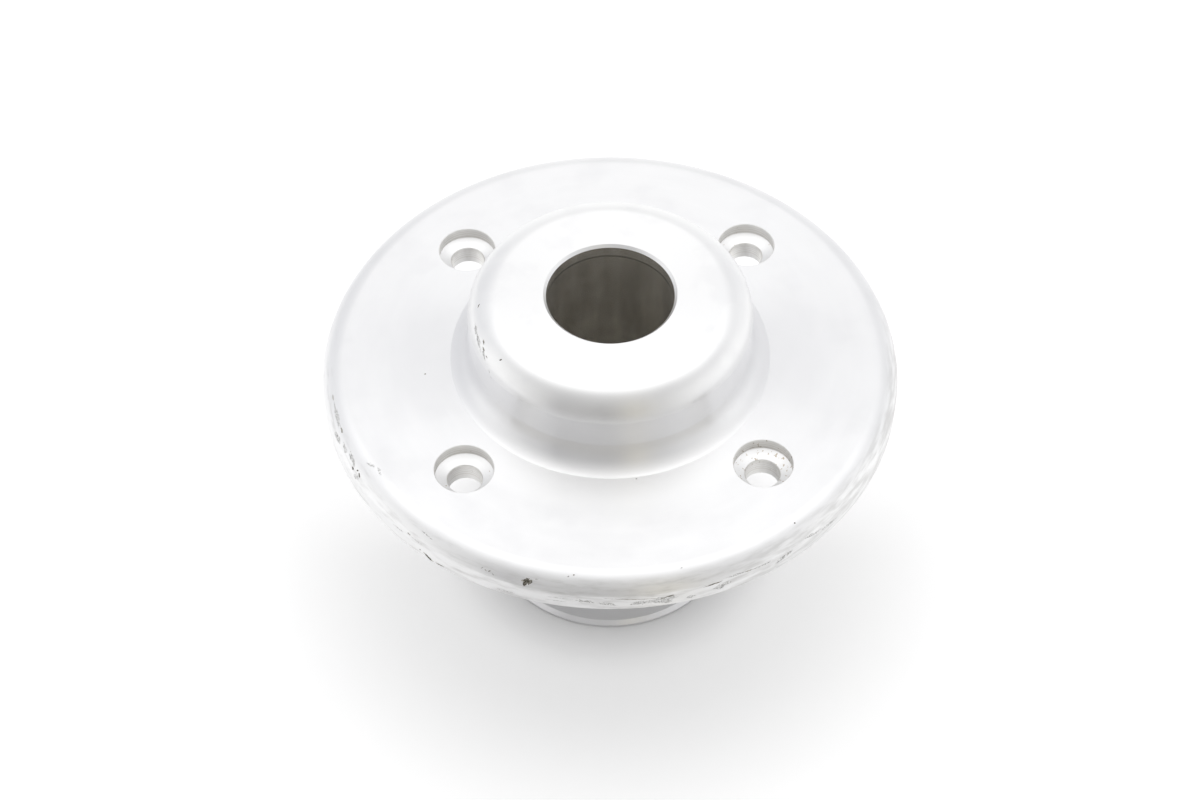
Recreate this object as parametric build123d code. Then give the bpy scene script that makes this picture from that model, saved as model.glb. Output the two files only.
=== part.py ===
from build123d import *

import math
import os

# A flanged hub turned from one bar of aluminium, then drilled and counterbored for four screws.
# It stands on its foot: the origin is the centre of the foot's underside, +Z is the turning axis.
# All sizes are in millimetres.

# Flange: a flat disc whose upper edge runs down in a long round to a plain land.
FLANGE_DIAMETER = 110.0
FLANGE_THICKNESS = 7.0
RIM_ROUND_REACH = 4.1  # how far in from the rim the round starts
RIM_ROUND_DROP = 3.2  # how far below the face it meets the land

# Boss above the flange, with a round shoulder and a concave foot.
BOSS_DIAMETER = 53.6
BOSS_HEIGHT = 17.0
SHOULDER_RADIUS = 5.7
COVE_RADIUS = 5.5  # tool radius left where the wall meets the flange
COVE_CUT = 0.3  # depth of the cove that the facing cut takes off

# Spigot under the flange, with a small collar at its foot.
SPIGOT_DIAMETER = 48.0
SPIGOT_LENGTH = 49.0
COLLAR_DIAMETER = 49.6
COLLAR_LAND = 0.8

# Bore: a seat from below up to a narrower lip at the boss face.
SEAT_DIAMETER = 25.0
MOUTH_DIAMETER = 24.0
LIP_DEPTH = 3.0
MOUTH_CHAMFER = 0.5
SEAT_CHAMFER = 0.5

# Four cap-screw holes, counterbored from above, on the diagonals.
SCREW_COUNT = 4
PITCH_DIAMETER = 78.0
FIRST_SCREW_ANGLE = 45.0
SCREW_HOLE_DIAMETER = 6.5
COUNTERBORE_DIAMETER = 11.0
COUNTERBORE_DEPTH = 2.3

EDGE_BREAK = 0.3  # burr taken off the flange's and the foot's lower corners

# Heights above the foot.
FLANGE_UNDERSIDE = SPIGOT_LENGTH
FLANGE_FACE = FLANGE_UNDERSIDE + FLANGE_THICKNESS
BOSS_FACE = FLANGE_FACE + BOSS_HEIGHT


def round_off_a_face(reach, drop):
    """Radius of a round that leaves a flat face smoothly and falls by drop over reach."""
    return (reach**2 + drop**2) / (2 * drop)


def outer_outline():
    """Outside of the section, from the foot up to the boss face: (radius, height) points and arcs."""
    foot = COLLAR_DIAMETER / 2
    spigot = SPIGOT_DIAMETER / 2
    rim = FLANGE_DIAMETER / 2
    wall = BOSS_DIAMETER / 2
    collar_top = COLLAR_LAND + foot - spigot

    cove_height = COVE_RADIUS - COVE_CUT
    cove_reach = COVE_RADIUS - math.sqrt(COVE_RADIUS**2 - cove_height**2)
    rim_round = round_off_a_face(RIM_ROUND_REACH, RIM_ROUND_DROP)

    lower = Polyline(
        (foot - EDGE_BREAK, 0),
        (foot, EDGE_BREAK),
        (foot, COLLAR_LAND),
        (spigot, collar_top),
        (spigot, FLANGE_UNDERSIDE),
        (rim - EDGE_BREAK, FLANGE_UNDERSIDE),
        (rim, FLANGE_UNDERSIDE + EDGE_BREAK),
        (rim, FLANGE_FACE - RIM_ROUND_DROP),
    )
    rim_arc = RadiusArc(lower @ 1, (rim - RIM_ROUND_REACH, FLANGE_FACE), -rim_round)
    face = Line(rim_arc @ 1, (wall + cove_reach, FLANGE_FACE))
    cove = RadiusArc(face @ 1, (wall, FLANGE_FACE + cove_height), COVE_RADIUS)
    side = Line(cove @ 1, (wall, BOSS_FACE - SHOULDER_RADIUS))
    shoulder = RadiusArc(side @ 1, (wall - SHOULDER_RADIUS, BOSS_FACE), -SHOULDER_RADIUS)
    return [lower, rim_arc, face, cove, side, shoulder]


def bore_outline(start, end):
    """Inside of the section, from the boss face down through the lip and the seat to the foot."""
    mouth = MOUTH_DIAMETER / 2
    seat = SEAT_DIAMETER / 2
    return Polyline(
        start,
        (mouth + MOUTH_CHAMFER, BOSS_FACE),
        (mouth, BOSS_FACE - MOUTH_CHAMFER),
        (mouth, BOSS_FACE - LIP_DEPTH),
        (seat, BOSS_FACE - LIP_DEPTH),
        (seat, SEAT_CHAMFER),
        (seat + SEAT_CHAMFER, 0),
        end,
    )


def turned_blank():
    """The turned body, before it is drilled."""
    outside = outer_outline()
    inside = bore_outline(outside[-1] @ 1, outside[0] @ 0)
    section = make_face(Plane.XZ * Curve(outside + [inside]))
    return revolve(section, Axis.Z)


def screw_holes():
    """Through holes and their counterbores, on the pitch circle."""
    hole = Cylinder(
        SCREW_HOLE_DIAMETER / 2,
        FLANGE_THICKNESS,
        align=(Align.CENTER, Align.CENTER, Align.MIN),
    )
    counterbore = Pos(0, 0, FLANGE_THICKNESS) * Cylinder(
        COUNTERBORE_DIAMETER / 2,
        COUNTERBORE_DEPTH,
        align=(Align.CENTER, Align.CENTER, Align.MAX),
    )
    places = PolarLocations(PITCH_DIAMETER / 2, SCREW_COUNT, FIRST_SCREW_ANGLE)
    return Pos(0, 0, FLANGE_UNDERSIDE) * places * (hole + counterbore)


os.makedirs("parts", exist_ok=True)
flanged_hub = turned_blank() - screw_holes()
export_step(flanged_hub, "parts/flanged_hub.step")
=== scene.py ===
import math

import bmesh
import bpy
from mathutils import Matrix, Vector, noise


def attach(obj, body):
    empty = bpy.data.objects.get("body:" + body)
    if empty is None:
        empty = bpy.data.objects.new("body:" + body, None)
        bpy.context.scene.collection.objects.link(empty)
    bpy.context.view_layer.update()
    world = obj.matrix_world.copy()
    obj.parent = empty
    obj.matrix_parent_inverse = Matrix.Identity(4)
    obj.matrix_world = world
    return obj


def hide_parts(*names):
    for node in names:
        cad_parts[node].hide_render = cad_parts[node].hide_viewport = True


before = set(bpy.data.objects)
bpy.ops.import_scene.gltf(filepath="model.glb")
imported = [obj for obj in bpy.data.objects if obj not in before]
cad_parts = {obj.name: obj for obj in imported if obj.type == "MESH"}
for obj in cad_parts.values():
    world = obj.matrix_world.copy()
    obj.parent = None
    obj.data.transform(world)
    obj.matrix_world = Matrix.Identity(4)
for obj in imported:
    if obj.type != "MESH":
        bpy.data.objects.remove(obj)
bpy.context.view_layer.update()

# The hub's body is one piece of aluminium bar, turned all over: a flange with a long round on its
# upper edge, a boss with a round shoulder above it, a plain spigot with a low collar below, and a
# bore right through.
MM = 0.001
TURNING_STEPS = 240
CORNER_STEPS = 3
RIM_ROUND_STEPS = 20
COVE_STEPS = 20
SHOULDER_STEPS = 24
MERGE_DISTANCE = 1e-7
FLANGE_RADIUS = 55.0
FLANGE_UNDERSIDE = 49.0
FLANGE_FACE = 56.0
RIM_ROUND_REACH = 4.1
RIM_ROUND_DROP = 3.2
RIM_ROUND_RADIUS = (RIM_ROUND_REACH**2 + RIM_ROUND_DROP**2) / (2 * RIM_ROUND_DROP)
BOSS_RADIUS = 26.8
BOSS_FACE = 73.0
SHOULDER_RADIUS = 5.7
COVE_RADIUS = 5.5
COVE_CUT = 0.3
SPIGOT_RADIUS = 24.0
COLLAR_RADIUS = 24.8
COLLAR_LAND = 0.8
SEAT_RADIUS = 12.5
MOUTH_RADIUS = 12.0
LIP_DEPTH = 3.0
BORE_CHAMFER = 0.5
EDGE_BREAK = 0.3
BURR_ROUND = 0.12
TOOL_NOSE = 0.4
FLAT_SUPPORT = 0.25
WITNESS_DEPTH = 0.04
WITNESS_HEIGHT = 0.12


def arc(centre, radius, first, last, steps):
    """Points of an outline along an arc, between two angles in degrees from the radius upwards."""
    turns = [math.radians(first + (last - first) * n / steps) for n in range(steps + 1)]
    return [(centre[0] + radius * math.cos(t), centre[1] + radius * math.sin(t)) for t in turns]


def turned(name, outline, rounds, closed, steps):
    """A mesh spun about +Z from an outline in millimetres; rounds gives corners their radius."""
    shape = bmesh.new()
    points = [shape.verts.new((r * MM, 0, z * MM)) for r, z in outline]
    ends = points[1:] + points[:1] if closed else points[1:]
    for first, second in zip(points, ends):
        shape.edges.new((first, second))
    corners = {}
    for number, radius in rounds.items():
        corners.setdefault(radius, []).append(points[number])
    for radius, verts in corners.items():
        bmesh.ops.bevel(
            shape, geom=verts, offset=radius * MM, offset_type="OFFSET",
            segments=CORNER_STEPS, profile=0.5, affect="VERTICES", material=-1,
        )
    bmesh.ops.spin(
        shape, geom=shape.verts[:] + shape.edges[:], cent=(0, 0, 0), axis=(0, 0, 1),
        angle=2 * math.pi, steps=steps, use_merge=True,
    )
    bmesh.ops.remove_doubles(shape, verts=shape.verts, dist=MERGE_DISTANCE)
    bmesh.ops.recalc_face_normals(shape, faces=shape.faces)
    mesh = bpy.data.meshes.new(name)
    shape.to_mesh(mesh)
    shape.free()
    return mesh


rim_centre = (FLANGE_RADIUS - RIM_ROUND_REACH, FLANGE_FACE - RIM_ROUND_RADIUS)
rim_edge_angle = math.degrees(math.asin(1 - RIM_ROUND_DROP / RIM_ROUND_RADIUS))
shoulder_centre = (BOSS_RADIUS - SHOULDER_RADIUS, BOSS_FACE - SHOULDER_RADIUS)
cove_centre = (BOSS_RADIUS + COVE_RADIUS, FLANGE_FACE + COVE_RADIUS - COVE_CUT)
cove_edge_angle = 180 + math.degrees(math.asin(1 - COVE_CUT / COVE_RADIUS))
cove_edge = cove_centre[0] + COVE_RADIUS * math.cos(math.radians(cove_edge_angle))

outline = [
    (SEAT_RADIUS + BORE_CHAMFER, 0),
    (COLLAR_RADIUS - EDGE_BREAK, 0),
    (COLLAR_RADIUS, EDGE_BREAK),
    (COLLAR_RADIUS, COLLAR_LAND),
    (SPIGOT_RADIUS, COLLAR_LAND + COLLAR_RADIUS - SPIGOT_RADIUS),
    (SPIGOT_RADIUS, FLANGE_UNDERSIDE),
    (FLANGE_RADIUS - EDGE_BREAK, FLANGE_UNDERSIDE),
    (FLANGE_RADIUS, FLANGE_UNDERSIDE + EDGE_BREAK),
]
rounds = {0: BURR_ROUND, 1: BURR_ROUND, 2: BURR_ROUND, 3: BURR_ROUND, 4: BURR_ROUND}
rounds.update({5: TOOL_NOSE, 6: BURR_ROUND, 7: BURR_ROUND})
outline += arc(rim_centre, RIM_ROUND_RADIUS, rim_edge_angle, 90, RIM_ROUND_STEPS)
outline += [(rim_centre[0] - FLAT_SUPPORT, FLANGE_FACE), (cove_edge + FLAT_SUPPORT, FLANGE_FACE)]
outline += arc(cove_centre, COVE_RADIUS, cove_edge_angle, 180, COVE_STEPS)
outline += [
    (BOSS_RADIUS - WITNESS_DEPTH, cove_centre[1] + WITNESS_HEIGHT),
    (BOSS_RADIUS - WITNESS_DEPTH, cove_centre[1] + WITNESS_HEIGHT + FLAT_SUPPORT),
    (BOSS_RADIUS - WITNESS_DEPTH, shoulder_centre[1] - WITNESS_HEIGHT - FLAT_SUPPORT),
    (BOSS_RADIUS - WITNESS_DEPTH, shoulder_centre[1] - WITNESS_HEIGHT),
]
outline += arc(shoulder_centre, SHOULDER_RADIUS, 0, 90, SHOULDER_STEPS)
outline += [
    (shoulder_centre[0] - FLAT_SUPPORT, BOSS_FACE),
    (MOUTH_RADIUS + BORE_CHAMFER, BOSS_FACE),
    (MOUTH_RADIUS, BOSS_FACE - BORE_CHAMFER),
    (MOUTH_RADIUS, BOSS_FACE - LIP_DEPTH),
    (SEAT_RADIUS, BOSS_FACE - LIP_DEPTH),
    (SEAT_RADIUS, BORE_CHAMFER),
]
hub_mesh = turned("flanged_hub_turned", outline, rounds, True, TURNING_STEPS)
hub = bpy.data.objects.new("flanged_hub_turned", hub_mesh)
bpy.context.scene.collection.objects.link(hub)

# Four cap-screw holes are drilled through the flange on the diagonals and counterbored from
# above with a larger drill, whose point leaves the floors conical; each edge keeps a narrow flare.
SCREW_PITCH_RADIUS = 39.0
SCREW_ANGLES = (45, 135, 225, 315)
SCREW_HOLE_RADIUS = 3.25
COUNTERBORE_RADIUS = 5.5
COUNTERBORE_FLOOR = FLANGE_FACE - 2.3
DRILL_POINT_SLOPE = math.tan(math.radians(20))
HOLE_EDGE = COUNTERBORE_FLOOR - (COUNTERBORE_RADIUS - SCREW_HOLE_RADIUS) * DRILL_POINT_SLOPE
HOLE_FLARE = 0.12
DRILL_STEPS = 72
OVERRUN = 2.0
FLOOR_FACING = 0.8
CUTTER_WALL, CUTTER_FLOOR = 0, 1

drill_outline = [
    (0, FLANGE_UNDERSIDE - OVERRUN),
    (SCREW_HOLE_RADIUS + HOLE_FLARE, FLANGE_UNDERSIDE - OVERRUN),
    (SCREW_HOLE_RADIUS + HOLE_FLARE, FLANGE_UNDERSIDE),
    (SCREW_HOLE_RADIUS, FLANGE_UNDERSIDE + HOLE_FLARE),
    (SCREW_HOLE_RADIUS, HOLE_EDGE - HOLE_FLARE),
    (SCREW_HOLE_RADIUS + HOLE_FLARE, HOLE_EDGE + HOLE_FLARE * DRILL_POINT_SLOPE),
    (COUNTERBORE_RADIUS, COUNTERBORE_FLOOR),
    (COUNTERBORE_RADIUS, FLANGE_FACE - HOLE_FLARE),
    (COUNTERBORE_RADIUS + HOLE_FLARE, FLANGE_FACE),
    (COUNTERBORE_RADIUS + HOLE_FLARE, FLANGE_FACE + OVERRUN),
    (0, FLANGE_FACE + OVERRUN),
]
drill_mesh = turned("drill", drill_outline, {}, False, DRILL_STEPS)
for face in drill_mesh.polygons:
    level = abs(face.normal.z) > FLOOR_FACING
    face.material_index = CUTTER_FLOOR if level else CUTTER_WALL


def cut(body, cutters):
    """Takes the cutters' meshes out of the body; the cut faces keep the cutters' materials."""
    for number, cutter in enumerate(cutters):
        tool = bpy.data.objects.new(f"cutter_{number}", cutter)
        bpy.context.scene.collection.objects.link(tool)
        boolean = body.modifiers.new(f"cut_{number}", "BOOLEAN")
        boolean.operation = "DIFFERENCE"
        boolean.solver = "EXACT"
        boolean.material_mode = "TRANSFER"
        boolean.object = tool
    bpy.context.view_layer.update()
    evaluated = body.evaluated_get(bpy.context.evaluated_depsgraph_get())
    finished = bpy.data.meshes.new_from_object(evaluated)
    for modifier in list(body.modifiers):
        bpy.data.objects.remove(modifier.object)
        body.modifiers.remove(modifier)
    body.data = finished


screw_cutters = []
for angle in SCREW_ANGLES:
    screw_cutter = drill_mesh.copy()
    turn = Matrix.Rotation(math.radians(angle), 4, "Z")
    screw_cutter.transform(turn @ Matrix.Translation((SCREW_PITCH_RADIUS * MM, 0, 0)))
    screw_cutters.append(screw_cutter)


# Knocks and scrapes from use are cut into the metal: dark nicks, bruises and long scrapes round
# the rim, chips down the left of the boss's shoulder, and specks on the flat faces.
BRUISED, SCRAPED = 0, 1
RAGGED_SCALE = 1.7
RAGGED_STRIDE = 13.7
FINER_SCALE = 3
FINER_SHARE = 0.5
CUTTER_HEIGHT = 1.6
CUTTER_LIFT = 0.6


def bent_round(edge, centre, radius, first, along, out):
    """A point off an upright wall and the round above it, so far along from where they meet."""
    if along < 0:
        return edge[0] + out, edge[1] + along
    turn = math.radians(first) + along / radius
    return centre[0] + (radius + out) * math.cos(turn), centre[1] + (radius + out) * math.sin(turn)


def rim_skin(along, out):
    edge = (FLANGE_RADIUS, FLANGE_FACE - RIM_ROUND_DROP)
    return bent_round(edge, rim_centre, RIM_ROUND_RADIUS, rim_edge_angle, along, out)


def shoulder_skin(along, out):
    edge = (BOSS_RADIUS, shoulder_centre[1])
    return bent_round(edge, shoulder_centre, SHOULDER_RADIUS, 0, along, out)


def flange_skin(along, out):
    return along, FLANGE_FACE + out


def boss_skin(along, out):
    return along, BOSS_FACE + out


def gouge(shape, skin, kind, azimuth, along, length, width, depth, twist=0, jag=0.3, fine=3):
    """Adds a ragged cutter bent to a surface, its length turned by twist degrees from the rim's."""
    ball = bmesh.ops.create_icosphere(shape, subdivisions=fine, radius=1.0)
    turn = math.radians(twist)
    seed = Vector((azimuth, along, length)) * RAGGED_STRIDE
    for face in {face for vert in ball["verts"] for face in vert.link_faces}:
        face.material_index = kind
    for vert in ball["verts"]:
        ragged = 1 + jag * noise.noise(vert.co * RAGGED_SCALE + seed)
        ragged += FINER_SHARE * jag * noise.noise(vert.co * RAGGED_SCALE * FINER_SCALE - seed)
        far = vert.co.x * ragged * length / 2
        up = vert.co.y * ragged * width / 2
        out = depth * (vert.co.z * ragged * CUTTER_HEIGHT + CUTTER_LIFT)
        reach, height = skin(along + far * math.sin(turn) + up * math.cos(turn), out)
        sweep = math.radians(azimuth) + (far * math.cos(turn) - up * math.sin(turn)) / reach
        vert.co = Vector((reach * math.cos(sweep), reach * math.sin(sweep), height)) * MM


# Each knock: its surface and kind, its azimuth in degrees, its place along the section, its
# length, width and depth, and then its twist, raggedness and fineness where they aren't the usual.
KNOCKS = (
    # the deep nick and the torn edge at the front left
    (rim_skin, BRUISED, -107.2, 1.35, 2.1, 1.5, 0.45, 8, 0.7, 4),
    (rim_skin, SCRAPED, -105.5, 2.2, 1.4, 0.2, 0.05, 15),
    (rim_skin, BRUISED, -128.4, -2.9, 2.6, 0.6, 0.35, -30, 0.5),
    (rim_skin, BRUISED, -125.7, -3.2, 2.4, 0.25, 0.15, 4),
    (rim_skin, BRUISED, -130.4, -2.2, 0.5, 0.3, 0.1),
    # the scrapes down the left of the rim
    (rim_skin, BRUISED, -170.0, 3.0, 1.5, 0.25, 0.06, -4),
    (rim_skin, SCRAPED, -165.0, 2.9, 6.4, 0.75, 0.09, -3, 0.6, 4),
    (rim_skin, BRUISED, -161.2, 2.9, 1.5, 0.35, 0.06, -8),
    (rim_skin, SCRAPED, -160.8, 1.3, 3.0, 1.2, 0.07, 0, 0.7, 4),
    (rim_skin, SCRAPED, -157.0, 1.9, 2.4, 0.9, 0.07, -10, 0.7),
    (rim_skin, SCRAPED, -153.8, 2.2, 3.4, 1.0, 0.10, -12, 0.7),
    (rim_skin, BRUISED, -152.3, 1.2, 0.8, 0.45, 0.25, -20, 0.6),
    (rim_skin, BRUISED, -150.9, 1.9, 0.6, 0.3, 0.25, 30, 0.6),
    (rim_skin, BRUISED, -149.9, 1.6, 0.9, 0.35, 0.25, -30, 0.6),
    (rim_skin, SCRAPED, -150.4, 0.8, 2.0, 0.8, 0.10, 10, 0.7),
    (rim_skin, SCRAPED, -149.8, 4.6, 1.8, 0.6, 0.05, 25, 0.7),
    (rim_skin, SCRAPED, -147.4, 5.2, 1.8, 0.6, 0.05, -15, 0.7),
    # the streaks towards the front left
    (rim_skin, BRUISED, -133.2, 0.2, 0.9, 0.3, 0.10, -6),
    (rim_skin, SCRAPED, -131.2, -0.1, 2.8, 0.3, 0.08, -4),
    (rim_skin, SCRAPED, -129.4, 2.2, 3.2, 0.3, 0.06, -8),
    (rim_skin, SCRAPED, -136.0, -0.6, 3.0, 0.35, 0.05, 0, 0.6),
    (rim_skin, SCRAPED, -116.4, 1.4, 0.7, 0.2, 0.08, 50),
    (rim_skin, BRUISED, -115.6, 1.2, 0.5, 0.18, 0.08, -35),
    (rim_skin, BRUISED, -114.8, 1.3, 0.7, 0.2, 0.08, 40),
    (rim_skin, SCRAPED, -114.0, 0.9, 0.6, 0.25, 0.08, -50),
    (rim_skin, SCRAPED, -111.5, -2.6, 4.2, 0.2, 0.04, 3),
    (rim_skin, SCRAPED, -100.8, -1.2, 5.2, 0.15, 0.03, 1),
    (rim_skin, SCRAPED, -101.6, -2.1, 4.4, 0.15, 0.03, 1),
    # the bruises across the front
    (rim_skin, SCRAPED, -96.3, -1.4, 3.4, 0.9, 0.05, -14, 0.7),
    (rim_skin, SCRAPED, -92.0, -1.9, 3.2, 0.8, 0.05, -10, 0.7),
    (rim_skin, BRUISED, -87.2, -0.7, 12.6, 0.16, 0.05, -5),
    (rim_skin, SCRAPED, -85.4, -1.9, 4.4, 1.2, 0.06, 5, 0.8, 4),
    (rim_skin, SCRAPED, -81.6, -1.9, 6.0, 1.7, 0.05, 8, 0.8, 4),
    (rim_skin, BRUISED, -80.6, -1.1, 2.8, 0.5, 0.09, 14, 0.8, 4),
    (rim_skin, SCRAPED, -76.0, -2.3, 1.8, 0.8, 0.06, 8, 0.7),
    # the scraped edge towards the front right
    (rim_skin, BRUISED, -71.8, -0.3, 3.6, 0.4, 0.10, 4, 0.6),
    (rim_skin, SCRAPED, -70.0, -1.4, 3.4, 1.4, 0.07, 10, 0.8, 4),
    (rim_skin, SCRAPED, -67.0, 0.2, 4.2, 0.5, 0.10, -2, 0.6),
    (rim_skin, BRUISED, -64.4, 0.0, 1.8, 0.25, 0.07, -3),
    (rim_skin, SCRAPED, -61.6, -0.2, 4.0, 0.5, 0.09, -3, 0.6),
    (rim_skin, SCRAPED, -56.4, -1.0, 3.6, 1.3, 0.10, 12, 0.8, 4),
    (rim_skin, BRUISED, -55.4, -1.0, 0.8, 0.3, 0.10, 40, 0.6),
    (rim_skin, SCRAPED, -49.2, -0.1, 4.8, 0.7, 0.12, -8, 0.7),
    (rim_skin, SCRAPED, -44.8, -1.0, 4.0, 0.8, 0.09, -6, 0.7),
    # specks on the flange
    (rim_skin, BRUISED, -98.5, 3.97, 0.35, 0.30, 0.15),
    (rim_skin, SCRAPED, -99.5, 3.6, 0.5, 0.25, 0.08, 40),
    (rim_skin, SCRAPED, -77.3, 4.3, 0.5, 0.25, 0.08, 20),
    (rim_skin, BRUISED, -51.8, 3.99, 0.35, 0.30, 0.15),
    (flange_skin, BRUISED, -172.7, 35.5, 0.40, 0.35, 0.12),
    (flange_skin, SCRAPED, -82.4, 30.9, 0.40, 0.35, 0.12),
    # chips down the boss's shoulder, and specks on its face
    (shoulder_skin, BRUISED, -176.3, 5.2, 1.1, 0.35, 0.10, -35, 0.5),
    (shoulder_skin, SCRAPED, -166.0, 3.4, 2.6, 0.8, 0.07, -10, 0.7),
    (shoulder_skin, SCRAPED, -160.5, 2.9, 3.2, 1.0, 0.08, -20, 0.7),
    (shoulder_skin, BRUISED, -157.5, 3.9, 1.1, 0.4, 0.12, -20, 0.5),
    (shoulder_skin, BRUISED, -155.2, 3.1, 1.2, 0.35, 0.10, -10, 0.5),
    (shoulder_skin, SCRAPED, -153.4, 2.4, 2.2, 0.7, 0.08, -30, 0.7),
    (shoulder_skin, BRUISED, -151.6, 2.7, 0.6, 0.25, 0.10, -25, 0.5),
    (shoulder_skin, SCRAPED, -147.6, 0.6, 1.0, 0.22, 0.06, -50),
    (shoulder_skin, BRUISED, -146.4, -0.6, 0.8, 0.22, 0.06, -50),
    (shoulder_skin, BRUISED, -144.5, 4.6, 0.7, 0.3, 0.12, 60, 0.5),
    (boss_skin, BRUISED, -51.7, 18.5, 0.45, 0.25, 0.08, 30),
    (boss_skin, SCRAPED, -56.0, 20.6, 0.40, 0.25, 0.08, 60),
    (boss_skin, SCRAPED, -132.0, 19.2, 0.45, 0.20, 0.06, 10),
    (boss_skin, BRUISED, -111.0, 20.9, 0.35, 0.25, 0.08, 20),
)
# Neighbours go to different meshes, so that no mesh holds cutters that overlap.
KNOCK_GROUPS = 4
knock_cutters = []
for group in range(KNOCK_GROUPS):
    knocks = bmesh.new()
    for knock in KNOCKS[group::KNOCK_GROUPS]:
        gouge(knocks, *knock)
    bmesh.ops.recalc_face_normals(knocks, faces=knocks.faces)
    knock_cutter = bpy.data.meshes.new("knocks")
    knocks.to_mesh(knock_cutter)
    knocks.free()
    knock_cutters.append(knock_cutter)


# The turned faces carry fine feed lines round the axis, which stretch each reflection across
# them, with faint stains from handling.
class Value:
    """A value in a material's nodes; arithmetic on it adds Math nodes."""

    def __init__(self, tree, socket):
        self.tree = tree
        self.socket = socket

    def maths(self, operation, *values):
        node = self.tree.nodes.new("ShaderNodeMath")
        node.operation = operation
        for socket, value in zip(node.inputs, values):
            if isinstance(value, Value):
                self.tree.links.new(value.socket, socket)
            else:
                socket.default_value = value
        return Value(self.tree, node.outputs[0])

    def __add__(self, other):
        return self.maths("ADD", self, other)

    def __radd__(self, other):
        return self.maths("ADD", other, self)

    def __sub__(self, other):
        return self.maths("SUBTRACT", self, other)

    def __rsub__(self, other):
        return self.maths("SUBTRACT", other, self)

    def __mul__(self, other):
        return self.maths("MULTIPLY", self, other)

    def __rmul__(self, other):
        return self.maths("MULTIPLY", other, self)

    def __truediv__(self, other):
        return self.maths("DIVIDE", self, other)

    def __pow__(self, other):
        return self.maths("POWER", self, other)

    def clamped(self):
        return self.maths("MINIMUM", self.maths("MAXIMUM", self, 0.0), 1.0)

    def square_root(self):
        return self.maths("SQRT", self)

    def absolute(self):
        return self.maths("ABSOLUTE", self)


class Finish:
    """The node tree of a material or of the studio's world, emptied and ready for nodes."""

    def __init__(self, owner):
        owner.use_nodes = True
        self.tree = owner.node_tree
        self.tree.nodes.clear()

    def node(self, kind, settings=None, **values):
        """Adds a node: its settings, then a value or a link for each socket, by name or number."""
        node = self.tree.nodes.new(kind)
        for name, setting in (settings or {}).items():
            setattr(node, name, setting)
        for name, value in values.items():
            key = int(name[1:]) if name[1:].isdigit() else name.replace("_", " ")
            socket = node.inputs[key]
            if isinstance(value, Value):
                self.tree.links.new(value.socket, socket)
            else:
                socket.default_value = value
        return node

    def value(self, node, output=0):
        return Value(self.tree, node.outputs[output])

    def place(self):
        """The object's own coordinates in millimetres: the vector, x, y and z."""
        coordinates = self.value(self.node("ShaderNodeTexCoord"), "Object")
        vector = self.node(
            "ShaderNodeVectorMath", {"operation": "SCALE"}, Vector=coordinates, Scale=1 / MM
        )
        parts = self.node("ShaderNodeSeparateXYZ", Vector=self.value(vector))
        return self.value(vector), *(self.value(parts, n) for n in range(3))

    def joined(self, x, y, z=0.0):
        """A vector from three values."""
        return self.value(self.node("ShaderNodeCombineXYZ", X=x, Y=y, Z=z))

    def swept(self, x, y, per_turn, height):
        """A place that stretches a pattern round the axis: its bearing, and a height along it."""
        radius = self.polar(x, y)
        return self.joined(x / radius * per_turn, y / radius * per_turn, height)

    def speckle(self, vector, scale, detail=2.0, roughness=0.5, dimensions="3D"):
        """A noise value between 0 and 1."""
        node = self.node(
            "ShaderNodeTexNoise", {"noise_dimensions": dimensions}, Vector=vector, Scale=scale,
            Detail=detail, Roughness=roughness,
        )
        return self.value(node)

    def ramp(self, value, low, high, start=0.0, end=1.0):
        """Value runs smoothly from start to end while it goes from low to high."""
        node = self.node(
            "ShaderNodeMapRange", {"interpolation_type": "SMOOTHSTEP"}, Value=value,
            _1=low, _2=high, _3=start, _4=end,
        )
        return self.value(node)

    def tint(self, factor, first, second):
        """A colour between two colours."""
        node = self.node("ShaderNodeMix", {"data_type": "RGBA"}, _0=factor, _6=first, _7=second)
        return self.value(node, 2)

    def polar(self, x, y):
        """Distance from an axis."""
        return (x * x + y * y).square_root()

    def metal(self, colour, roughness, relief, depth, metallic=1.0, lathe=None):
        """Ends the tree in metal with a relief in millimetres; lathe turns its shine round +Z."""
        bump = self.node("ShaderNodeBump", Strength=1.0, Distance=depth * MM, Height=relief)
        shader = self.node(
            "ShaderNodeBsdfPrincipled", Base_Color=colour, Metallic=metallic, Roughness=roughness,
            Normal=self.value(bump),
        )
        if lathe is not None:
            tangent = self.node("ShaderNodeTangent", {"direction_type": "RADIAL", "axis": "Z"})
            self.tree.links.new(tangent.outputs[0], shader.inputs["Tangent"])
            shader.inputs["Anisotropic"].default_value = lathe
            shader.inputs["Anisotropic Rotation"].default_value = ACROSS_THE_LINES
        self.node("ShaderNodeOutputMaterial", Surface=self.value(shader))


ACROSS_THE_LINES = 0.25
ALUMINIUM = (0.905, 0.905, 0.91, 1)
STAINED_AND_SHADED_ALUMINIUM = (0.83, 0.83, 0.84, 1)
CLEAN_AND_PAINTED_LIGHT_ALUMINIUM = (0.99, 0.99, 0.99, 1)
SHADED_ALUMINIUM = (0.83, 0.825, 0.815, 1)
SCUFFED_ALUMINIUM = (0.72, 0.715, 0.705, 1)
FEED_LINES_PER_MM = 4.0
FEED_LINE_DEPTH = 0.004
PASSES_PER_MM = 0.9
STAINS_PER_MM = 0.09
STAIN_EDGE = (0.48, 0.72)
SMEARS_ROUND_AXIS = 4.0
SMEARS_ALONG = 0.25
STAIN_SHARE, PASS_SHARE, SMEAR_SHARE = 0.40, 0.20, 0.45

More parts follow.
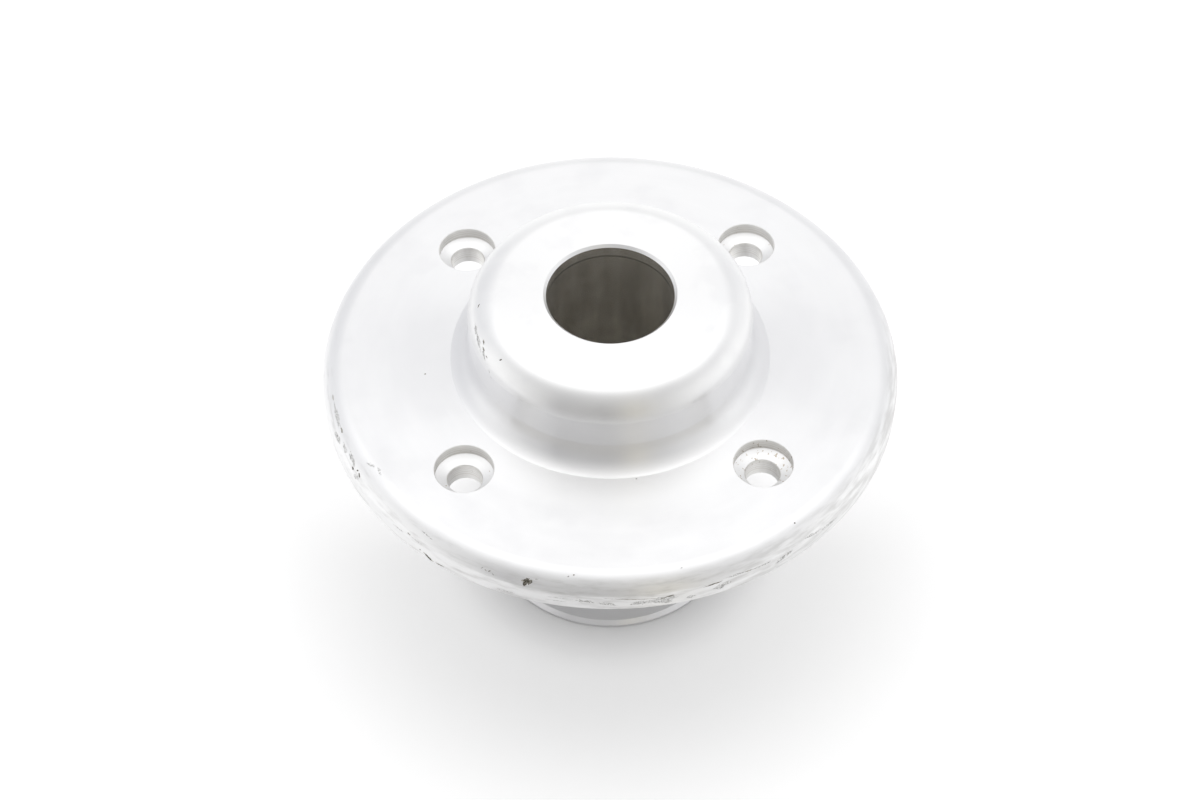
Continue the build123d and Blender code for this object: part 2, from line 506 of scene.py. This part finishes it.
turned_aluminium = bpy.data.materials.new("turned_aluminium")
finish = Finish(turned_aluminium)
place, x, y, z = finish.place()
radius = finish.polar(x, y)
section = finish.joined(radius, z)
feed_lines = finish.speckle(section, FEED_LINES_PER_MM, detail=3.0, roughness=0.6, dimensions="2D")
passes = finish.speckle(section, PASSES_PER_MM, dimensions="2D")
swept = finish.swept(x, y, SMEARS_ROUND_AXIS, (radius + z) * SMEARS_ALONG)
smears = finish.speckle(swept, 1.0, detail=4.0, roughness=0.6)
stains = finish.ramp(finish.speckle(place, STAINS_PER_MM, detail=3.0), *STAIN_EDGE)
stained = stains * STAIN_SHARE + passes * PASS_SHARE + smears * SMEAR_SHARE
colour = finish.tint(stained.clamped(), ALUMINIUM, STAINED_AND_SHADED_ALUMINIUM)

# The rim is scuffed in patches round the front; the scuffs grow towards the right, which adds
# painted shade there.
RIM_WORN = (52.0, 54.4)
RIM_WORN_BACK = (-22.0, 8.0)
RIM_WEAR = 0.7
SCUFFS_ROUND_RIM = 11.0
SCUFFS_DOWN_RIM = 0.9
SCUFF_SCALE = 0.9
SCUFF_EDGE = (0.40, 0.74)
SCUFF_AND_SHADE_GROWTH = 0.0016
on_rim = finish.ramp(radius, *RIM_WORN) * finish.ramp(-1.0 * y, *RIM_WORN_BACK)
scuffed = finish.swept(x, y, SCUFFS_ROUND_RIM, (z - radius) * SCUFFS_DOWN_RIM)
# The growth with x is painted shade on the rim's right side, on top of the scuffs' own wear.
scuffs = finish.speckle(scuffed, SCUFF_SCALE, detail=4.0, roughness=0.52) + x * SCUFF_AND_SHADE_GROWTH
scuffs = finish.ramp(scuffs, *SCUFF_EDGE)
scuff_colour = finish.tint(scuffs, CLEAN_AND_PAINTED_LIGHT_ALUMINIUM, SCUFFED_ALUMINIUM)
colour = finish.tint(on_rim * RIM_WEAR, colour, scuff_colour)

# The flange gets painted light in front of the boss, a little up the boss's wall too, and painted
# shade at its sides; the cove gets painted shade in front.
FRONT_BEARING = (0.45, 0.95)
SIDE_BEARING = (0.72, 0.99)
PAINTED_LIGHT_REACH = (41.0, 31.0)
SIDE_SHADE_REACH = (48.0, 36.0)
WALL_PAINTED_LIGHT = 0.15
SIDE_SHADE_SHARE = 0.8
wall_foot = cove_centre[1]
wall_top = shoulder_centre[1]
in_front = finish.ramp(-1.0 * y / radius, *FRONT_BEARING)
at_sides = finish.ramp((x / radius) * (x / radius), *SIDE_BEARING)
painted_side_shade = at_sides * finish.ramp(radius, *SIDE_SHADE_REACH)
near_boss = finish.ramp(radius, *PAINTED_LIGHT_REACH)
above_edge = finish.ramp(z, FLANGE_FACE - 1.5, FLANGE_FACE - 0.5)
below_cove = finish.ramp(z, FLANGE_FACE + 2.0, FLANGE_FACE + 0.5)
on_flange = above_edge * below_cove
above_cove = finish.ramp(z, wall_foot - 0.1, wall_foot + 0.1)
below_shoulder = finish.ramp(z, wall_top + 0.1, wall_top - 0.1)
on_wall = above_cove * below_shoulder
up_the_cove = finish.ramp(z, wall_foot - 3.5, wall_foot - 1.0)
below_wall = finish.ramp(z, wall_foot + 0.3, wall_foot - 0.5)
on_cove = up_the_cove * below_wall
# Painted light: the flange and wall in front of the boss are lightened towards near-white metal.
painted_light_near_boss = in_front * (near_boss * on_flange + on_wall * WALL_PAINTED_LIGHT)
colour = finish.tint(painted_light_near_boss, colour, CLEAN_AND_PAINTED_LIGHT_ALUMINIUM)
# Painted shade: the flange's sides are darkened, using the same colour as the real stains.
colour = finish.tint(painted_side_shade * on_flange * SIDE_SHADE_SHARE, colour, STAINED_AND_SHADED_ALUMINIUM)
# Painted shade: the cove in front of the boss is darkened.
colour = finish.tint(in_front * on_cove, colour, SHADED_ALUMINIUM)
roughness = 0.27 + feed_lines * 0.06 + smears * 0.12 + on_rim * scuffs * 0.08
finish.metal(colour, roughness, feed_lines * 0.7 + passes * 0.6, FEED_LINE_DEPTH, lathe=0.8)
hub.data.materials.append(turned_aluminium)

# The boss's face and shoulder are turned with finer lines, so they shine more evenly all round.
FACED_ALUMINIUM = (0.92, 0.92, 0.92, 1)
FINE_LINES_PER_MM = 6.0
FINE_LINE_DEPTH = 0.002
FACE_STAINS_PER_MM = 0.12
FACE_STAIN_EDGE = (0.50, 0.70)
FACE_STAIN_SHARE = 0.4
faced_aluminium = bpy.data.materials.new("faced_aluminium")
finish = Finish(faced_aluminium)
place, x, y, z = finish.place()
section = finish.joined(finish.polar(x, y), z)
fine_lines = finish.speckle(section, FINE_LINES_PER_MM, detail=3.0, roughness=0.6, dimensions="2D")
stains = finish.ramp(finish.speckle(place, FACE_STAINS_PER_MM, detail=4.0), *FACE_STAIN_EDGE)
colour = finish.tint(stains * FACE_STAIN_SHARE, FACED_ALUMINIUM, STAINED_AND_SHADED_ALUMINIUM)
finish.metal(colour, 0.32 + fine_lines * 0.06, fine_lines, FINE_LINE_DEPTH, lathe=0.5)
hub.data.materials.append(faced_aluminium)

# The bore is finished smooth. Its wall has darkened in streaks, with the film that a shaft leaves,
# and a line of painted shadow runs under the lip's lower edge.
BORE_METAL = (0.98, 0.95, 0.89, 1)
BORE_FILM = (0.72, 0.695, 0.645, 1)
BORE_LIP_SHADOW = (0.50, 0.485, 0.45, 1)
BORE_LINES_PER_MM = 3.0
BORE_LINE_DEPTH = 0.0015
STREAKS_ROUND_BORE = 2.2
STREAKS_ALONG_BORE = 0.04
STREAK_EDGE = (0.38, 0.64)
FILM_PER_MM = 0.15
FILM_EDGE = (0.35, 0.65)
FILM_SHARE, STREAK_SHARE = 0.4, 0.6
bored_aluminium = bpy.data.materials.new("bored_aluminium")
finish = Finish(bored_aluminium)
place, x, y, z = finish.place()
section = finish.joined(finish.polar(x, y), z)
bore_lines = finish.speckle(section, BORE_LINES_PER_MM, detail=3.0, roughness=0.6, dimensions="2D")
drawn = finish.swept(x, y, STREAKS_ROUND_BORE, z * STREAKS_ALONG_BORE)
streaks = finish.ramp(finish.speckle(drawn, 1.0, detail=3.0), *STREAK_EDGE)
film = finish.ramp(finish.speckle(place, FILM_PER_MM, detail=3.0), *FILM_EDGE)
lip_foot = BOSS_FACE - LIP_DEPTH
# Painted shadow: a dark band just below the lip's foot.
lip_shadow_foot = finish.ramp(z, lip_foot - 0.1, lip_foot)
lip_shadow_top = finish.ramp(z, lip_foot + 0.6, lip_foot + 0.3)
colour = finish.tint((film * FILM_SHARE + streaks * STREAK_SHARE).clamped(), BORE_METAL, BORE_FILM)
colour = finish.tint(lip_shadow_foot * lip_shadow_top, colour, BORE_LIP_SHADOW)
roughness = 0.16 + bore_lines * 0.04
finish.metal(colour, roughness, bore_lines, BORE_LINE_DEPTH, metallic=0.8, lathe=0.5)
hub.data.materials.append(bored_aluminium)

TURNED, FACED, BORED = 0, 1, 2
FACE_MARGIN = 0.02
for face in hub.data.polygons:
    from_axis = math.hypot(face.center.x, face.center.y)
    if face.center.z > shoulder_centre[1] * MM and from_axis > (MOUTH_RADIUS + FACE_MARGIN) * MM:
        face.material_index = FACED
    elif from_axis < (SEAT_RADIUS + FACE_MARGIN) * MM:
        face.material_index = BORED
    else:
        face.material_index = TURNED

# The drilled and counterbored walls show the drill's own rings; the floors are scraped matt and
# nearly white, with specks of grit left in them, most of all towards the front right.
DRILLED_METAL = (0.96, 0.955, 0.94, 1)
DRILLED_GRIT = (0.60, 0.56, 0.50, 1)
FLOOR_METAL = (0.88, 0.88, 0.88, 1)
FLOOR_GRIT = (0.52, 0.45, 0.36, 1)
RINGS_PER_MM = 3.0
RING_EDGE = (0.42, 0.66)
GRIT_PER_MM = 1.6
GRIT_EDGE = (0.68, 0.75)
GRIT_GROWTH = 0.0012
hole_offset = SCREW_PITCH_RADIUS * math.sqrt(0.5)
for name, metal, grit_colour, ring_marks, ring_depth, rough in (
    ("drilled_aluminium", DRILLED_METAL, DRILLED_GRIT, 0.30, 0.012, 0.42),
    ("drill_point_aluminium", FLOOR_METAL, FLOOR_GRIT, 0.0, 0.003, 0.34),
):
    drilled = bpy.data.materials.new(name)
    finish = Finish(drilled)
    place, x, y, z = finish.place()
    from_hole = finish.polar(x.absolute() - hole_offset, y.absolute() - hole_offset)
    rings = finish.speckle(finish.joined(from_hole, z), RINGS_PER_MM, dimensions="2D")
    grit = finish.speckle(place, GRIT_PER_MM, detail=3.0) + x * GRIT_GROWTH - y * GRIT_GROWTH
    colour = finish.tint(finish.ramp(rings, *RING_EDGE) * ring_marks, metal, grit_colour)
    colour = finish.tint(finish.ramp(grit, *GRIT_EDGE), colour, grit_colour)
    finish.metal(colour, rough + rings * 0.08, rings, ring_depth)
    for screw_cutter in screw_cutters:
        screw_cutter.materials.append(drilled)

# Bruises are dark inside, mottled lighter; scrapes are bright, rough metal.
BRUISE_DARK, BRUISE_LIGHT = (0.24, 0.225, 0.19, 1), (0.72, 0.70, 0.65, 1)
SCRAPE_DARK, SCRAPE_LIGHT = (0.56, 0.56, 0.55, 1), (0.95, 0.95, 0.95, 1)
CRUMBS_PER_MM = 3.5
CRUMB_EDGE = (0.40, 0.62)
CRUMB_DEPTH = 0.05
for name, dark, light, rough in (
    ("bruised_aluminium", BRUISE_DARK, BRUISE_LIGHT, 0.55),
    ("scraped_aluminium", SCRAPE_DARK, SCRAPE_LIGHT, 0.45),
):
    torn = bpy.data.materials.new(name)
    finish = Finish(torn)
    place, x, y, z = finish.place()
    crumbs = finish.speckle(place, CRUMBS_PER_MM, detail=4.0, roughness=0.65)
    colour = finish.tint(finish.ramp(crumbs, *CRUMB_EDGE), dark, light)
    finish.metal(colour, rough + crumbs * 0.15, crumbs, CRUMB_DEPTH)
    for knock_cutter in knock_cutters:
        knock_cutter.materials.append(torn)
cut(hub, screw_cutters + knock_cutters)

SHARP_ANGLE = math.radians(20)
for face in hub.data.polygons:
    face.use_smooth = True
hub.data.set_sharp_from_angle(angle=SHARP_ANGLE)
weighting = hub.modifiers.new("face_weighted_normals", "WEIGHTED_NORMAL")
weighting.keep_sharp = True
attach(hub, "root")
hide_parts("flanged_hub")

# The table is a sheet of white paper. It glows a little so that it stays white; the glow is least
# near the foot, which paints in part of the hub's soft shadow.
TABLE_SIZE = (0.80, 0.44)
TABLE_MIDDLE = (0.0, 0.11)
TABLE_SQUARES = 8
TABLE_WHITE = (0.72, 0.72, 0.72, 1)
TABLE_GREY = (0.68, 0.68, 0.68, 1)
PAPER_GRAIN_PER_MM = 2.0
PAPER_GRAIN_SHARE = 0.1
NEAR_GLOW = (18.0, 38.0, 0.0, 0.34)
FAR_GLOW = (40.0, 85.0, 0.0, 0.11)
HOLE_GLOW = (-10.0, 16.0, 0.0, 0.16)
HOLE_GLOW_REACH = (75.0, 35.0)
OPEN_BEHIND = (0.0, 80.0)
OPEN_AROUND = (60.0, 100.0)
table_shape = bmesh.new()
bmesh.ops.create_grid(
    table_shape, x_segments=TABLE_SQUARES, y_segments=TABLE_SQUARES, size=0.5
)
bmesh.ops.scale(table_shape, vec=(*TABLE_SIZE, 1), verts=table_shape.verts)
bmesh.ops.translate(table_shape, vec=(*TABLE_MIDDLE, 0), verts=table_shape.verts)
table_mesh = bpy.data.meshes.new("table")
table_shape.to_mesh(table_mesh)
table_shape.free()
table = bpy.data.objects.new("table", table_mesh)
bpy.context.scene.collection.objects.link(table)

table_paper = bpy.data.materials.new("table_paper")
finish = Finish(table_paper)
place, x, y, z = finish.place()
from_axis = finish.polar(x, y)
paper_grain = finish.speckle(place, PAPER_GRAIN_PER_MM)
paper_colour = finish.tint(paper_grain * PAPER_GRAIN_SHARE, TABLE_WHITE, TABLE_GREY)
diffuse = finish.node("ShaderNodeBsdfDiffuse", Color=paper_colour)
round_hub = finish.ramp(from_axis, *NEAR_GLOW) + finish.ramp(from_axis, *FAR_GLOW)
# The glow behind the axis near the hub is a painted pool of light, seen through the far screw
# holes.
under_holes = finish.ramp(y, *HOLE_GLOW) * finish.ramp(from_axis, *HOLE_GLOW_REACH)
open_table = (finish.ramp(y, *OPEN_BEHIND) + finish.ramp(from_axis, *OPEN_AROUND)).clamped()
path = finish.node("ShaderNodeLightPath")
seen = finish.value(path, "Is Camera Ray") + finish.value(path, "Is Glossy Ray") * open_table
glow_strength = seen.clamped() * (round_hub + under_holes)
glow = finish.node("ShaderNodeEmission", Color=(1, 1, 1, 1), Strength=glow_strength)
both = finish.node("ShaderNodeAddShader", _0=finish.value(diffuse), _1=finish.value(glow))
finish.node("ShaderNodeOutputMaterial", Surface=finish.value(both))
table.data.materials.append(table_paper)

# The studio is a white tent with a bright panel overhead, leaning to the back. The camera's side
# is dimmer, warm on its right and darkest in the gap on its left, and so are the two low corners
# at the back.
TENT_LOW = (1.13, 1.13, 1.13, 1)
TENT_HIGH = (0.75, 0.75, 0.755, 1)
TENT_RISE = (0.20, 0.70)
TENT_FRONT = (0.44, 0.435, 0.43, 1)
FRONT_LEAN = -0.10
FRONT_FALL = 1.5
TENT_GAP = (0.22, 0.215, 0.22, 1)
GAP_LEFT, GAP_RIGHT = (-0.82, -0.66), (-0.50, -0.62)
TENT_WARM = (0.60, 0.57, 0.49, 1)
WARM_LEFT, WARM_RIGHT = (0.10, 0.20), (0.50, 0.36)
TENT_CORNER = (0.85, 0.855, 0.875, 1)
LEFT_CORNER_TOWARD = (-0.66, 0.64, 0.38)
RIGHT_CORNER_TOWARD = (0.66, 0.64, 0.38)
CORNER_EDGE = (0.74, 0.96)
RIGHT_CORNER_SHARE = 0.5
PANEL_WHITE = (1.49, 1.49, 1.49, 1)
PANEL_TOWARD = (0.0, 0.26, 0.966)
PANEL_NARROWING = 0.65
PANEL_EDGE = (0.82, 0.975)
BACKDROP_WHITE = (1, 1, 1, 1)
world = bpy.data.worlds.new("studio")
bpy.context.scene.world = world
finish = Finish(world)
direction = finish.value(finish.node("ShaderNodeTexCoord"), "Generated")
parts = finish.node("ShaderNodeSeparateXYZ", Vector=direction)
x, y, z = (finish.value(parts, n) for n in range(3))
nearness = []
for toward in (PANEL_TOWARD, LEFT_CORNER_TOWARD, RIGHT_CORNER_TOWARD):
    dot = finish.node("ShaderNodeVectorMath", {"operation": "DOT_PRODUCT"}, _0=direction, _1=toward)
    nearness.append(finish.value(dot, "Value"))
near_panel, near_left, near_right = nearness
panel_reach = (x * PANEL_NARROWING) ** 2.0 + y * y + z * z
panel = finish.ramp(near_panel / panel_reach.square_root(), *PANEL_EDGE)
left_corner = finish.ramp(near_left, *CORNER_EDGE)
right_corner = finish.ramp(near_right, *CORNER_EDGE) * RIGHT_CORNER_SHARE
bearing = x.maths("ARCTAN2", x, -1.0 * y)
warm = finish.ramp(bearing, *WARM_LEFT) * finish.ramp(bearing, *WARM_RIGHT)
gap = finish.ramp(bearing, *GAP_LEFT) * finish.ramp(bearing, *GAP_RIGHT)
front_colour = finish.tint(warm, TENT_FRONT, TENT_WARM)
front_colour = finish.tint(gap, front_colour, TENT_GAP)
front = x.maths("MAXIMUM", FRONT_LEAN * x - y, 0.0) ** FRONT_FALL
colour = finish.tint(finish.ramp(z, *TENT_RISE), TENT_LOW, TENT_HIGH)
colour = finish.tint((left_corner + right_corner).clamped(), colour, TENT_CORNER)
colour = finish.tint(front.clamped(), colour, front_colour)
colour = finish.tint(panel, colour, PANEL_WHITE)
path = finish.node("ShaderNodeLightPath")
backdrop = finish.tint(finish.value(path, "Is Camera Ray"), colour, BACKDROP_WHITE)
background = finish.node("ShaderNodeBackground", Color=backdrop, Strength=1.0)
finish.node("ShaderNodeOutputWorld", Surface=finish.value(background))

# The camera stands in front of the hub and looks down at it from about 50 degrees up, through a
# long lens.
CAMERA_PLACE = Vector((-8.4665, -328.1469, 436.4715)) * MM
CAMERA_DOWN = math.radians(50.24195)
CAMERA_TURN = math.radians(-1.135)
CAMERA_ROLL = math.radians(-0.14943)
CAMERA_LENS = 78.928
CAMERA_SENSOR = 36
CAMERA_CLIP = 0.01
camera = bpy.data.objects.new("camera", bpy.data.cameras.new("camera"))
camera.data.lens = CAMERA_LENS
camera.data.sensor_width = CAMERA_SENSOR
camera.data.clip_start = CAMERA_CLIP
camera.matrix_world = (
    Matrix.Translation(CAMERA_PLACE)
    @ Matrix.Rotation(CAMERA_TURN, 4, "Z")
    @ Matrix.Rotation(math.radians(90) - CAMERA_DOWN, 4, "X")
    @ Matrix.Rotation(CAMERA_ROLL, 4, "Z")
)
bpy.context.scene.collection.objects.link(camera)
bpy.context.scene.camera = camera
bpy.context.scene.view_settings.view_transform = "Standard"
